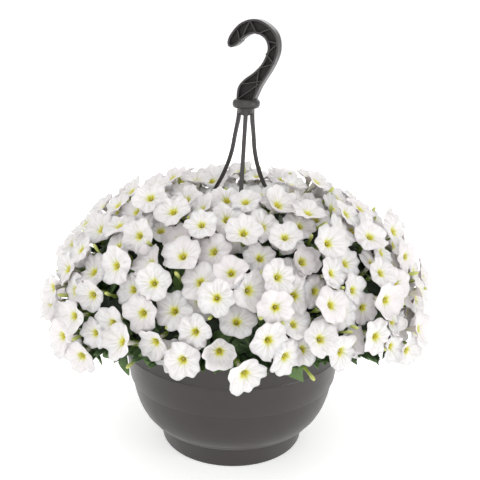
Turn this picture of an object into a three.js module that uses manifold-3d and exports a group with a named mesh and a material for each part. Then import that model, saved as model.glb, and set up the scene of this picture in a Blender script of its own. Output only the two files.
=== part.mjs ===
// A hanging basket of white petunias: a moulded plastic bowl with a foot, potting mix, a one-piece plastic
// hanger with three arms, and three leafy plants under a close dome of funnel-shaped blooms.
// Millimetres, +Z up. The origin is the centre of the pot's underside, and the front is -Y.
import * as THREE from "three";
import { mergeVertices } from "three/addons/utils/BufferGeometryUtils.js";
import Module from "manifold-3d";

const wasm = await Module();
wasm.setup();

// Driving dimensions
const POT_SIDES = 42;
const RIM_TOP = 168;
const RIM_OUTER = 136.2;
const RIM_INNER = 132.8;
const RIM_BAND = 10.4; // height of the rim's outer band
const DRAIN_HOLES = 5;
const DRAIN_RADIUS = 5;
const DRAIN_RING = 58;
const CLEARANCE = 0.3; // between pieces that touch on the real thing

const SOIL_TOP = 150;
const PLANTS = 3;
const MAIN_STEM_RADIUS = 5;
const MAIN_STEM_DEPTH = 34;
const MAIN_STEM_RING = 70;

const COLLAR_MIDDLE = 415.5;
const COLLAR_HEIGHT = 9.6;
const COLLAR_RADIUS = 15.4;
const BLOCK_RADIUS = 11; // the block under the collar, which the arms grow from
const BLOCK_HEIGHT = 9;
const BLOCK_DROP = 8;
const LEAN_START = RIM_TOP + 6;
const HANGER_LEAN = Math.tan(THREE.MathUtils.degToRad(2.3)); // sideways drift for each mm above LEAN_START
const HOOK_TURN = THREE.MathUtils.degToRad(-20);
const HOOK_DEPTH = 13;
const ARMS = 3;
const ARM_WIDTH = 4.8;
const ARM_THICKNESS = 3.6;
const CLIP_WIDTH = 10;

const MOUND_SIDE_RADIUS = 216;
const MOUND_RIGHT_BULGE = 14;
const MOUND_FRONT_RADIUS = 190;
const MOUND_EQUATOR = 168;
const MOUND_RISE = 167;
const MOUND_HOLLOW = 27; // the dip in the middle, where the arms go in
const MOUND_HOLLOW_RADIUS = 55;
const MOUND_DROOP = 118;
const MOUND_SIDE_EDGE = THREE.MathUtils.degToRad(113); // measured down from the top of the dome
const MOUND_RIGHT_EDGE = THREE.MathUtils.degToRad(94);
const MOUND_FRONT_EDGE = THREE.MathUtils.degToRad(88);
const CORE_SIDES = 24;
const CORE_INSET = 26; // from the faces of the blooms down to the close foliage

const BLOOM_SITES = 286;
const BLOOM_CLUSTERS = 52;
const BLOOM_RADIUS = 20.5;
const BLOOM_NOTCH = 17.6;
const BLOOM_LEVELS = [-7, 2, -3, 6]; // how far in or out of the mound each of four neighbours sits
const THROAT_DEPTH = 7;
const FOOT_DEPTH = [14, 20, 46]; // of a funnel: the least, the usual and the most
const PETALS = 5;
const CLUSTER_PULL = 0.12;
const SLIDE_BACK = 12;
const SLIDE_ON = 26;
const SLIDE_STEP = 0.8;
const CATCH = 1.4; // how far the lobes of neighbours run into each other
const SEAT_GAP = 0.5; // from the foot of a bloom to the foliage under it

const LEAF_SITES = 130;
const LEAF_LENGTH = 30;
const LEAF_WIDTH = 15;
const ROOM_SCALE = 1.06; // the room that leaves and buds leave round a bloom
const BUD_SITES = 50;
const BUD_LENGTH = 42;
const BUD_RADIUS = 2.6;
const ROOT_DEPTH = 4;
const SPROUT_TRIES = 12;
const SPROUT_LEAN = 0.35; // the most that a leaf or bud leans off the mound's normal, as a slope
const SCRAP = 400; // cubic mm, under which a cut-off bit is dropped
const SEED = 5.17;

const GOLDEN_ANGLE = Math.PI * (3 - Math.sqrt(5));
const TURN = 2 * Math.PI;

// Solids for joining and cutting, and back to meshes
function solidOf(geometry) {
  const bare = geometry.index ? geometry.toNonIndexed() : geometry.clone();
  bare.deleteAttribute("normal");
  bare.deleteAttribute("uv");
  const merged = mergeVertices(bare, 1e-3);
  const corners = merged.index.array;
  const kept = [];
  for (let i = 0; i < corners.length; i += 3) {
    const [a, b, c] = [corners[i], corners[i + 1], corners[i + 2]];
    if (a !== b && b !== c && c !== a) kept.push(a, b, c);
  }
  return new wasm.Manifold(
    new wasm.Mesh({
      numProp: 3,
      vertProperties: merged.attributes.position.array,
      triVerts: new Uint32Array(kept),
    }),
  );
}

function geometryOf(solid) {
  const { vertProperties, triVerts } = solid.getMesh();
  const geometry = new THREE.BufferGeometry();
  geometry.setAttribute("position", new THREE.BufferAttribute(new Float32Array(vertProperties), 3));
  geometry.setIndex(new THREE.BufferAttribute(new Uint32Array(triVerts), 1));
  return geometry;
}

// A turned solid from [radius, height] points, from the axis round to the axis, counter-clockwise
function turned(profile, sides) {
  const points = profile.map(([r, z]) => new THREE.Vector2(r, z));
  return new THREE.LatheGeometry(points, sides).rotateX(Math.PI / 2);
}

// A flat outline in the XZ plane, thickened evenly to both sides of it
function extruded(outline, depth) {
  return new THREE.ExtrudeGeometry(new THREE.Shape(outline), { depth, bevelEnabled: false })
    .translate(0, 0, -depth / 2)
    .rotateX(Math.PI / 2);
}

// Moves each vertex of a geometry by a formula
function shaped(geometry, formula) {
  const place = geometry.attributes.position;
  const v = new THREE.Vector3();
  for (let i = 0; i < place.count; i++) {
    v.fromBufferAttribute(place, i);
    formula(v);
    place.setXYZ(i, v.x, v.y, v.z);
  }
  return geometry;
}

// A seeded draw from 0 to 1, or from -1 to 1, for the index-th piece
function chance(index, channel) {
  const wave = Math.sin(index * 12.9898 + channel * 78.233 + SEED) * 43758.5453;
  return wave - Math.floor(wave);
}

function spread(index, channel) {
  return chance(index, channel) * 2 - 1;
}

// Azimuth is 0 at the front and grows to the right
function outward(azimuth) {
  return new THREE.Vector3(Math.sin(azimuth), -Math.cos(azimuth), 0);
}

// Pot: a thin bowl on a drawn-in foot, with two steps in its wall, a banded rim and drain holes
function potSolid() {
  const outside = [
    [0, 0], [83, 0], [87, 3], [89.3, 30.5], [101.5, 31.5], [103.5, 35.5], [110.5, 43], [117.5, 57.5],
    [122.8, 78], [124.4, 87], [126.2, 88.2], [131.3, 125.2], [132.8, 126.4],
    [134.4, RIM_TOP - RIM_BAND - 1.2], [RIM_OUTER, RIM_TOP - RIM_BAND],
    [RIM_OUTER, RIM_TOP - 1.2], [RIM_OUTER - 1.2, RIM_TOP],
  ];
  const inside = [
    [RIM_INNER, RIM_TOP], [129, 126], [122.2, 87], [114.8, 58.8],
    [100.6, 35.8], [86.9, 33.8], [84.6, 3.2], [0, 3.2],
  ];
  let pot = solidOf(turned([...outside, ...inside], POT_SIDES));
  for (let i = 0; i < DRAIN_HOLES; i++) {
    const hole = new THREE.CylinderGeometry(DRAIN_RADIUS, DRAIN_RADIUS, 12, 8).rotateX(Math.PI / 2);
    const place = outward(((i + 0.5) * TURN) / DRAIN_HOLES).multiplyScalar(DRAIN_RING);
    pot = pot.subtract(solidOf(hole.translate(place.x, place.y, 1)));
  }
  return pot;
}

// Main stems: one for each plant, standing in plain holes in the potting mix
function plantAzimuth(plant) {
  return ((plant + 0.5) * TURN) / PLANTS;
}

function mainStem(plant, radius, foot, top) {
  const place = outward(plantAzimuth(plant)).multiplyScalar(MAIN_STEM_RING);
  const stem = new THREE.CylinderGeometry(radius, radius, top - foot, 8).rotateX(Math.PI / 2);
  return solidOf(stem.translate(place.x, place.y, (top + foot) / 2));
}

// Potting mix: fills the bowl to a finger's width under the rim, slightly crowned
function soilSolid() {
  const profile = [
    [0, 3.5], [84.1, 3.5], [86.4, 34.2], [100.2, 36.2], [114.4, 59], [128.6, 126], [130.8, SOIL_TOP - 1],
    [0, SOIL_TOP],
  ];
  let soil = solidOf(turned(profile, POT_SIDES));
  for (let plant = 0; plant < PLANTS; plant++) {
    const foot = SOIL_TOP - MAIN_STEM_DEPTH - CLEARANCE;
    soil = soil.subtract(mainStem(plant, MAIN_STEM_RADIUS + CLEARANCE, foot, SOIL_TOP + 20));
  }
  return soil;
}

// Hanger: a ribbed hook on a round collar, and three thin arms that spread to clips on the rim
function point(x, z) {
  return new THREE.Vector2(x, z);
}

// Moves the sides of a counter-clockwise outline inwards, or outwards where the margin is negative
function insetOutline(outline, margin) {
  return outline.map((p, i) => {
    const before = outline[(i + outline.length - 1) % outline.length];
    const after = outline[(i + 1) % outline.length];
    const along = after.clone().sub(before).normalize();
    return point(p.x - along.y * margin, p.y + along.x * margin);
  });
}

// The hook's outer and inner edges in its own plane, from the middle of the collar up and round to the tip
function hookOutline() {
  const outer = new THREE.SplineCurve([
    point(10, 2), point(16.8, 19), point(28.8, 40), point(35, 59), point(31, 77), point(16.5, 89),
    point(2, 91.6), point(-12, 86), point(-22, 74), point(-24.6, 66),
  ]);
  const inner = new THREE.SplineCurve([
    point(-17, 61.5), point(-12.5, 64.5), point(-5, 72), point(6.5, 76.4), point(18, 72), point(22.8, 61),
    point(18, 46), point(8.8, 35.2), point(-2.6, 26.4), point(-9.2, 17), point(-10, 2),
  ]);
  const tip = [point(-23.6, 62.2), point(-20.4, 60.6)];
  return [...outer.getPoints(15), ...tip, ...inner.getPoints(15)];
}

// An I section: an open pocket in each side of a thin web, with zigzag ribs left standing in it
function hookSolid() {
  const edgeFlange = 2.6;
  const webThickness = 3;
  const ribThickness = 2;
  const ribs = [
    [point(-14, 80), point(-10, 67)], [point(-10, 67), point(0, 90)], [point(0, 90), point(9, 76)],
    [point(9, 76), point(24, 82)], [point(20, 69), point(34, 67)], [point(34, 67), point(20, 55)],
    [point(20, 55), point(31, 45)], [point(31, 45), point(12, 39)], [point(12, 39), point(12, 11)],
    [point(20, 26), point(-9, 21)], [point(20, 26), point(-8, 5)],
  ];
  const outline = hookOutline();
  const hook = solidOf(extruded(outline, HOOK_DEPTH));
  const pocketDepth = (HOOK_DEPTH - webThickness) / 2;
  let pocket = solidOf(extruded(insetOutline(outline, edgeFlange), pocketDepth));
  for (const [from, to] of ribs) {
    const span = to.clone().sub(from);
    const rib = new THREE.BoxGeometry(span.length() + 4, HOOK_DEPTH, ribThickness).rotateY(-span.angle());
    pocket = pocket.subtract(solidOf(rib.translate((from.x + to.x) / 2, 0, (from.y + to.y) / 2)));
  }
  const reach = (webThickness + pocketDepth) / 2 + 0.01;
  return hook.subtract(pocket.translate([0, reach, 0])).subtract(pocket.translate([0, -reach, 0]));
}

// One arm with its clip, in the plane of [radius, height]: down inside the mound and over the rim
function armOutline(margin) {
  const centre = new THREE.SplineCurve([
    point(6, 410), point(9, 398), point(11.9, 381), point(15.4, 359), point(22.4, 337), point(33.3, 315),
    point(54, 283), point(82, 241), point(108, 203), point(124, 181), point(131, 169.8),
  ]);
  const halfThickness = ARM_THICKNESS / 2 + margin;
  const path = centre.getPoints(20);
  const sides = path.map((p, i) => {
    const along = centre.getTangent(i / (path.length - 1));
    return [point(p.x - along.y * halfThickness, p.y + along.x * halfThickness),
      point(p.x + along.y * halfThickness, p.y - along.x * halfThickness)];
  });
  return [...sides.map((pair) => pair[1]), ...sides.map((pair) => pair[0]).reverse()];
}

function clipOutline() {
  const catchTop = RIM_TOP - RIM_BAND - 1.7;
  const outerLeg = RIM_OUTER + CLEARANCE;
  return [
    point(127.6, 158), point(130.6, 158),
    point(131.9, RIM_TOP + CLEARANCE), point(outerLeg, RIM_TOP + CLEARANCE),
    point(outerLeg, catchTop), point(134.8, catchTop),
    point(134.8, catchTop - 1.2), point(136.8, catchTop - 2.6), point(139.3, catchTop - 1.2),
    point(139.3, RIM_TOP + 3), point(138.5, RIM_TOP + 3.8),
    point(128.6, RIM_TOP + 3.8), point(127.6, RIM_TOP + 2.8),
  ];
}

// The whole hanger has drifted sideways above its clips, as the photograph shows
function leaned(v) {
  v.x += Math.max(0, v.z - LEAN_START) * HANGER_LEAN;
}

function armSolid(arm, margin) {
  const azimuth = (arm * TURN) / ARMS;
  const strip = solidOf(extruded(armOutline(margin), ARM_WIDTH + 2 * margin));
  const clip = solidOf(extruded(insetOutline(clipOutline(), -margin), CLIP_WIDTH + 2 * margin));
  const whole = geometryOf(strip.add(clip)).rotateZ(azimuth - Math.PI / 2);
  return solidOf(shaped(whole, leaned));
}

function hangerSolid() {
  const collar = new THREE.CylinderGeometry(COLLAR_RADIUS, COLLAR_RADIUS, COLLAR_HEIGHT, 20)
    .rotateX(Math.PI / 2)
    .translate(0, 0, COLLAR_MIDDLE);
  const block = new THREE.CylinderGeometry(BLOCK_RADIUS, BLOCK_RADIUS, BLOCK_HEIGHT, 12)
    .rotateX(Math.PI / 2)
    .translate(0, 0, COLLAR_MIDDLE - BLOCK_DROP);
  const hook = geometryOf(hookSolid()).rotateZ(HOOK_TURN).translate(0, 0, COLLAR_MIDDLE);
  const upper = [collar, block, hook].map((piece) => solidOf(shaped(piece, leaned)));
  const arms = [];
  for (let arm = 0; arm < ARMS; arm++) arms.push(armSolid(arm, 0));
  return wasm.Manifold.union([...upper, ...arms]);
}

// Mound: the dome that the faces of the blooms lie on, by azimuth and by angle down from its top
function mix(a, b, share) {
  return a + (b - a) * share;
}

// 0 at the front, where the mound is short, and 1 at the sides and the back
function fullness(azimuth) {
  const turnedBy = Math.abs(Math.atan2(Math.sin(azimuth), Math.cos(azimuth)));
  return THREE.MathUtils.smoothstep(turnedBy, 0.5, 1.35);
}

function moundRadius(azimuth) {
  const bulge = MOUND_RIGHT_BULGE * Math.max(0, Math.sin(azimuth));
  const lumps = 4 * Math.sin(3 * azimuth + 1) + 3 * Math.sin(5 * azimuth);
  return mix(MOUND_FRONT_RADIUS, MOUND_SIDE_RADIUS + bulge + lumps, fullness(azimuth));
}

function moundEdge(azimuth) {
  const ragged = 0.06 * Math.sin(4 * azimuth + 2) + 0.04 * Math.sin(7 * azimuth);
  const rightness = Math.max(0, Math.sin(azimuth));
  return mix(MOUND_FRONT_EDGE, mix(MOUND_SIDE_EDGE, MOUND_RIGHT_EDGE, rightness) + ragged, fullness(azimuth));
}

function moundNormal(azimuth, theta) {
  const height = Math.cos(theta) / (theta < Math.PI / 2 ? MOUND_RISE : MOUND_DROOP);
  const normal = outward(azimuth).multiplyScalar(Math.sin(theta) / moundRadius(azimuth));
  normal.z = height;
  return normal.normalize();
}

function moundPoint(azimuth, theta, inset) {
  const place = outward(azimuth).multiplyScalar(moundRadius(azimuth) * Math.sin(theta));
  place.z = MOUND_EQUATOR + Math.cos(theta) * (theta < Math.PI / 2 ? MOUND_RISE : MOUND_DROOP);
  place.z -= MOUND_HOLLOW * Math.exp(-((place.length() ** 2 - place.z ** 2) / MOUND_HOLLOW_RADIUS ** 2));
  return place.addScaledVector(moundNormal(azimuth, theta), -inset);
}

// Close foliage: the leafy body under the blooms, from the potting mix out over the rim and up to the top
function coreSolid(margin) {
  const underside = [
    () => [126, SOIL_TOP + CLEARANCE],
    () => [126, RIM_TOP + 6],
    () => [144, RIM_TOP + 6],
    (azimuth) => [150, mix(RIM_TOP + 6, RIM_TOP - 30, fullness(azimuth))],
  ];
  const heights = [1, 0.86, 0.7, 0.53, 0.36, 0.18];
  const top = underside.length + heights.length;
  const profile = [[0, -1]];
  for (let ring = 0; ring < top; ring++) profile.push([10, ring]);
  profile.push([0, top]);
  return solidOf(
    shaped(turned(profile, CORE_SIDES), (v) => {
      const ring = Math.round(v.z);
      const azimuth = Math.atan2(v.x, -v.y);
      if (ring < 0) {
        v.set(0, 0, SOIL_TOP + CLEARANCE - margin);
      } else if (ring < underside.length) {
        const [radius, height] = underside[ring](azimuth);
        v.copy(outward(azimuth).multiplyScalar(radius)).setZ(height - margin);
      } else if (ring < top) {
        const theta = heights[ring - underside.length] * moundEdge(azimuth);
        v.copy(moundPoint(azimuth, theta, CORE_INSET - margin));
      } else {
        v.copy(moundPoint(0, 0, CORE_INSET - margin));
      }
    }),
  );
}

// Blooms: sites on a golden-angle spiral of even spacing, drawn together in small clusters
function spiralSites(count) {
  const steps = 240;
  const areas = [0];
  for (let i = 1; i <= steps; i++) {
    const theta = (i * MOUND_SIDE_EDGE) / steps;
    const radius = MOUND_SIDE_RADIUS * Math.sin(theta);
    const rise = MOUND_RISE * Math.sin(theta);
    const run = MOUND_SIDE_RADIUS * Math.cos(theta);
    areas.push(areas[i - 1] + radius * Math.hypot(rise, run));
  }
  const sites = [];
  let step = 0;
  for (let i = 0; i < count; i++) {
    const area = (areas[steps] * (i + 0.5)) / count;
    while (areas[step + 1] < area) step++;
    const theta = ((step + (area - areas[step]) / (areas[step + 1] - areas[step])) * MOUND_SIDE_EDGE) / steps;
    const azimuth = i * GOLDEN_ANGLE;
    if (theta <= moundEdge(azimuth)) sites.push({ azimuth, theta });
  }
  return sites;
}

// Each bloom's place on the mound, which way it faces, and which cluster it belongs to
function bloomPlaces() {
  const middles = spiralSites(BLOOM_CLUSTERS).map(({ azimuth, theta }) => moundPoint(azimuth, theta, 0));
  const places = spiralSites(BLOOM_SITES).map(({ azimuth, theta }, i) => {
    const centre = moundPoint(azimuth, theta, 0);
    let cluster = 0;
    middles.forEach((middle, k) => {
      if (middle.distanceTo(centre) < middles[cluster].distanceTo(centre)) cluster = k;
    });
    const lift = BLOOM_LEVELS[i % BLOOM_LEVELS.length] + 1.5 * spread(i, 1);
    centre.lerp(middles[cluster], CLUSTER_PULL).addScaledVector(moundNormal(azimuth, theta), lift);
    const elevation = THREE.MathUtils.degToRad(80 + 8 * spread(i, 2)) - 0.87 * theta;
    const heading = azimuth + (0.2 * spread(i, 3)) / Math.max(0.3, Math.sin(theta));
    const facing = outward(heading).multiplyScalar(Math.cos(elevation));
    facing.z = Math.sin(elevation);
    const fromMiddle = centre.distanceTo(middles[cluster]);
    return { centre, facing, cluster, fromMiddle, roll: chance(i, 4) * TURN, size: 1 + 0.09 * spread(i, 5) };
  });
  return places.sort((a, b) => a.cluster - b.cluster || a.fromMiddle - b.fromMiddle);
}

// A bloom: five lobes round a funnel, whose foot runs down to just above the close foliage
function bloomSolid({ centre, facing, roll, size, depth }) {
  const profile = [[0, -depth], [1, 0], [0, -THROAT_DEPTH]];
  const bloom = shaped(turned(profile, 2 * PETALS), (v) => {
    if (v.z < -1) return;
    const corner = Math.round((Math.atan2(v.y, v.x) / TURN + 1) * 2 * PETALS + 0.5);
    const isTip = corner % 2 === 0;
    const reach = (isTip ? BLOOM_RADIUS : BLOOM_NOTCH) * size;
    v.set(v.x * reach, v.y * reach, isTip ? -1.2 : 0.8);
  });
  const stand = new THREE.Quaternion().setFromUnitVectors(new THREE.Vector3(0, 0, 1), facing);
  return solidOf(bloom.rotateZ(roll).applyQuaternion(stand).translate(centre.x, centre.y, centre.z));
}

// How far down a bloom's foot can run before it meets the foliage
function footDepth({ centre, facing }, foliage) {
  const [least, usual, most] = FOOT_DEPTH;
  const ray = new THREE.Raycaster(centre, facing.clone().negate(), 0, most);
  const hit = ray.intersectObject(foliage)[0];
  return hit ? Math.max(hit.distance, least) : usual;
}

function overlaps(solid, others) {
  return others.some((other) => !solid.intersect(other).isEmpty());
}

// Slides a bloom towards the nearest one of its cluster until their lobes just catch each other
function caught(place, kin) {
  if (kin.length === 0) return place;
  const gap = (other) => other.place.centre.distanceTo(place.centre);
  const near = kin.filter((other) => gap(other) < 3 * BLOOM_RADIUS);
  const nearest = kin.reduce((best, other) => (gap(other) < gap(best) ? other : best));
  const towards = nearest.place.centre.clone().sub(place.centre).normalize();
  const solids = near.map((other) => other.solid);
  for (let slide = -SLIDE_BACK; slide < SLIDE_ON; slide += SLIDE_STEP) {
    const moved = { ...place, centre: place.centre.clone().addScaledVector(towards, slide) };
    if (overlaps(bloomSolid(moved), solids)) {
      return { ...place, centre: moved.centre.addScaledVector(towards, CATCH) };
    }
  }
  return place;
}

function laidOutBlooms() {
  const raised = new THREE.Mesh(geometryOf(coreSolid(SEAT_GAP)));
  raised.material.side = THREE.DoubleSide;
  const blooms = [];
  for (const site of bloomPlaces()) {
    const place = { ...site, depth: footDepth(site, raised) };
    const kin = blooms.filter((other) => other.place.cluster === place.cluster);
    const settled = caught(place, kin);
    settled.depth = footDepth(settled, raised);
    const room = bloomSolid({ ...settled, size: settled.size * ROOM_SCALE });
    blooms.push({ place: settled, solid: bloomSolid(settled), room });
  }
  return blooms;
}

// Where blooms of two clusters would cross, each gives way to the plane halfway between them
function keptApart(blooms) {
  for (const [i, a] of blooms.entries()) {
    for (const b of blooms.slice(i + 1)) {
      if (a.place.cluster === b.place.cluster) continue;
      if (a.place.centre.distanceTo(b.place.centre) > 3 * BLOOM_RADIUS) continue;
      if (a.solid.intersect(b.solid).isEmpty()) continue;
      const across = b.place.centre.clone().sub(a.place.centre).normalize();
      const halfway = a.place.centre.clone().add(b.place.centre).multiplyScalar(0.5).dot(across);
      b.solid = b.solid.trimByPlane(across.toArray(), halfway + CLEARANCE / 2);
      a.solid = a.solid.trimByPlane(across.clone().negate().toArray(), CLEARANCE / 2 - halfway);
    }
  }
}

// The bodies that are left after a join and a cut, without the loose scraps
function bodiesOf(solid) {
  return solid.decompose().filter((body) => body.volume() > SCRAP);
}

function clusterSolids(blooms, armRoom) {
  const taken = [armRoom, coreSolid(CLEARANCE)];
  const clusters = [];
  for (const { place, solid } of blooms) (clusters[place.cluster] ??= []).push(solid);
  return clusters.filter(Boolean).flatMap((solids) => {
    let cluster = wasm.Manifold.union(solids);
    for (const room of taken) {
      if (overlaps(cluster, [room])) cluster = cluster.subtract(room);
    }
    return bodiesOf(cluster);
  });
}

// Leaves and buds: spaced evenly like the blooms, in the gaps between them
function clearOfBlooms(sprout, blooms) {
  const ball = new THREE.Sphere();
  new THREE.Box3().setFromBufferAttribute(sprout.attributes.position).getBoundingSphere(ball);
  const reach = ball.radius + 2 * BLOOM_RADIUS;
  const near = blooms.filter(({ place }) => place.centre.distanceTo(ball.center) < reach);
  return !overlaps(solidOf(sprout), near.map(({ room }) => room));
}

// A pointed leaf with waved edges, its root at the origin and its tip towards +Z
function leafGeometry(length, width) {
  const outline = [[0, 0], [0.5, 0.28], [0.42, 0.62], [0, 1], [-0.42, 0.58], [-0.5, 0.3]];
  const corners = outline.map(([x, z], i) => [x * width, (i % 2 ? 1.6 : -1.2), z * length]);
  const middles = [[0, 1.6, 0.45 * length], [0, -1.4, 0.45 * length]];
  const faces = [];
  for (let i = 0; i < corners.length; i++) {
    const next = corners[(i + 1) % corners.length];
    faces.push(...corners[i], ...next, ...middles[1], ...next, ...corners[i], ...middles[0]);
  }
  const leaf = new THREE.BufferGeometry();
  return leaf.setAttribute("position", new THREE.BufferAttribute(new Float32Array(faces), 3));
}

// A long bud on its stalk, its root at the origin and its tip towards +Z
function budGeometry(length) {
  const profile = [[0, 0], [BUD_RADIUS, 0.68 * length], [0, length]];
  return turned(profile, 5);
}

// Stands a sprout on the core at a place on the mound, leaning a little, with a turn about its own axis
function planted(geometry, azimuth, theta, leans, spin) {
  const up = moundNormal(azimuth, theta).add(leans).normalize();
  const root = moundPoint(azimuth, theta, CORE_INSET + ROOT_DEPTH);
  const stand = new THREE.Quaternion().setFromUnitVectors(new THREE.Vector3(0, 0, 1), up);
  return geometry.clone().rotateZ(spin).applyQuaternion(stand).translate(root.x, root.y, root.z);
}

function sprouts(blooms, count, channel, makeSprout) {
  const kept = [];
  for (const [i, { azimuth, theta }] of spiralSites(count).entries()) {
    for (let attempt = 0; attempt < SPROUT_TRIES; attempt++) {
      const draw = i + 1000 * attempt;
      const aside = 0.09 * spread(draw, channel);
      const along = theta + 0.07 * spread(draw, channel + 1);
      const leans = new THREE.Vector3(spread(draw, channel + 2), spread(draw, channel + 3), 0);
      leans.multiplyScalar(SPROUT_LEAN);
      const around = azimuth + aside / Math.max(0.3, Math.sin(theta));
      const sprout = planted(makeSprout(draw), around, along, leans, TURN * chance(draw, channel + 4));
      if (!clearOfBlooms(sprout, blooms)) continue;
      kept.push(sprout);
      break;
    }
  }
  return kept;
}

// The part of a solid that belongs to one plant, a third of the way round
function plantShare(solid, plant) {
  const left = plantAzimuth(plant) - Math.PI / PLANTS;
  const right = plantAzimuth(plant) + Math.PI / PLANTS;
  return solid
    .trimByPlane(outward(left + Math.PI / 2).toArray(), CLEARANCE / 2)
    .trimByPlane(outward(right - Math.PI / 2).toArray(), CLEARANCE / 2);
}

function plantSolids(blooms, armRoom) {
  const core = coreSolid(0);
  const leaves = sprouts(blooms, LEAF_SITES, 10, (i) =>
    leafGeometry(LEAF_LENGTH * (1 + 0.2 * spread(i, 6)), LEAF_WIDTH * (1 + 0.2 * spread(i, 7))));
  const buds = sprouts(blooms, BUD_SITES, 20, (i) => budGeometry(BUD_LENGTH * (1 + 0.12 * spread(i, 8))));
  const leafy = wasm.Manifold.union([core, ...leaves.map(solidOf), ...buds.map(solidOf)]);
  const plants = [];
  for (let plant = 0; plant < PLANTS; plant++) {
    const stem = mainStem(plant, MAIN_STEM_RADIUS, SOIL_TOP - MAIN_STEM_DEPTH, SOIL_TOP + 12);
    const whole = plantShare(leafy, plant).add(stem).subtract(armRoom);
    plants.push(bodiesOf(whole).reduce((most, body) => (body.volume() > most.volume() ? body : most)));
  }
  return plants;
}

// The finished group
const PALETTE = {
  pot: { color: 0x575553, roughness: 0.5 },
  soil: { color: 0x2a2019, roughness: 1 },
  hanger: { color: 0x3b3a3d, roughness: 0.45 },
  foliage: { color: 0x3c5a26, roughness: 0.7 },
  blooms: { color: 0xf1eef0, roughness: 0.6 },
};

function meshOf(name, solid, finish) {
  const material = new THREE.MeshStandardMaterial({ ...finish, metalness: 0 });
  const mesh = new THREE.Mesh(geometryOf(solid), material);
  mesh.name = name;
  return mesh;
}

function numbered(name, index) {
  return `${name}_${String(index + 1).padStart(2, "0")}`;
}

const blooms = laidOutBlooms();
keptApart(blooms);
const armRooms = [];
for (let arm = 0; arm < ARMS; arm++) armRooms.push(armSolid(arm, CLEARANCE));
const armRoom = wasm.Manifold.union(armRooms);

const basket = new THREE.Group();
basket.add(meshOf("pot", potSolid(), PALETTE.pot));
basket.add(meshOf("soil", soilSolid(), PALETTE.soil));
basket.add(meshOf("hanger", hangerSolid(), PALETTE.hanger));
plantSolids(blooms, armRoom).forEach((plant, i) => {
  basket.add(meshOf(numbered("foliage", i), plant, PALETTE.foliage));
});
clusterSolids(blooms, armRoom).forEach((cluster, i) => {
  basket.add(meshOf(numbered("blooms", i), cluster, PALETTE.blooms));
});

export default basket;
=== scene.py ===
import math

import bmesh
import bpy
from mathutils import Matrix, Vector


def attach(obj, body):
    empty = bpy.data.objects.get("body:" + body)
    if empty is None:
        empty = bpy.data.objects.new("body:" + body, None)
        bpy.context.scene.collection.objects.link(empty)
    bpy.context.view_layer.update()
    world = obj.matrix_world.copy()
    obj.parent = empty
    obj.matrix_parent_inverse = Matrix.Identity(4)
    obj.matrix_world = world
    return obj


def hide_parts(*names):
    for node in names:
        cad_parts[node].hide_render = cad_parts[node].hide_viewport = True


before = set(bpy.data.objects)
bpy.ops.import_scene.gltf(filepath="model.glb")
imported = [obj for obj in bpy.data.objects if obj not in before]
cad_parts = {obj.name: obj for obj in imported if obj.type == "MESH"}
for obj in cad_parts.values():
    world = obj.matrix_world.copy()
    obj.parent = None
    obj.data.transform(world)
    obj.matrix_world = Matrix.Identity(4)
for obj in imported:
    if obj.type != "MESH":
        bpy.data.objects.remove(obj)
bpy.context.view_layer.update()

# Camera
# At the photograph's angle: a little above the blooms, looking down at them by 17 degrees.
# The picture leans by about a degree, so the camera is rolled by as much.
CAMERA_PLACE = Vector((0.0058, -0.9, 0.534))
CAMERA_DIP = 0.302
CAMERA_ROLL = 0.021
CAMERA_SENSOR = 36
CAMERA_LENS = 59.5


def in_scene(name, data):
    """A new object in the scene."""
    made = bpy.data.objects.new(name, data)
    bpy.context.scene.collection.objects.link(made)
    return made


camera_lens = bpy.data.cameras.new("camera")
camera_lens.sensor_width = CAMERA_SENSOR
camera_lens.lens = CAMERA_LENS
camera = in_scene("camera", camera_lens)
camera.matrix_world = (
    Matrix.Translation(CAMERA_PLACE)
    @ Matrix.Rotation(math.pi / 2 - CAMERA_DIP, 4, "X")
    @ Matrix.Rotation(CAMERA_ROLL, 4, "Z")
)
bpy.context.scene.camera = camera

# Pot
# A thin bowl of warm grey polypropylene on a drawn-in foot, injection moulded in one piece.
# Its wall has two small steps, the rim has a band, and the floor has five drain holes.
MM = 0.001
WELD = 0.0001
MOULDED_CREASE = math.radians(35)
POT_STEPS = 160
RIM_TOP = 168
POT_OUTSIDE = [
    (0, 0), (83, 0), (86, 0.9), (87.2, 3), (89.2, 30), (90, 31), (100.6, 31.4), (102.3, 32.6),
    (103.8, 35.4), (107.4, 39), (110.6, 43), (114.4, 50), (117.5, 57.5), (120.5, 67.5),
    (122.6, 78), (123.8, 86.6), (125.9, 87.6), (126.5, 88.8), (128.8, 106), (130.7, 124.4),
    (132.9, 125.2), (133.7, 126.1), (133.1, 127.4), (133.5, 141), (134.2, 155.8),
    (136.3, 156.6), (136.9, 157.5), (136.2, 158.9), (136.2, 166.6), (135.6, 167.7),
    (134.8, RIM_TOP),
]
POT_INSIDE = [
    (132.9, RIM_TOP), (132.4, 167.4), (129, 126), (122.2, 87), (114.8, 58.8),
    (100.6, 35.8), (86.9, 33.8), (84.6, 3.2), (0, 3.2),
]
DRAIN_HOLES = 5
DRAIN_STEPS = 32
DRAIN_RADIUS = 5
DRAIN_DEPTH = 12
DRAIN_RING = 58


def outward(azimuth):
    """Azimuth is 0 at the front and grows to the right."""
    return Vector((math.sin(azimuth), -math.cos(azimuth), 0))


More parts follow.
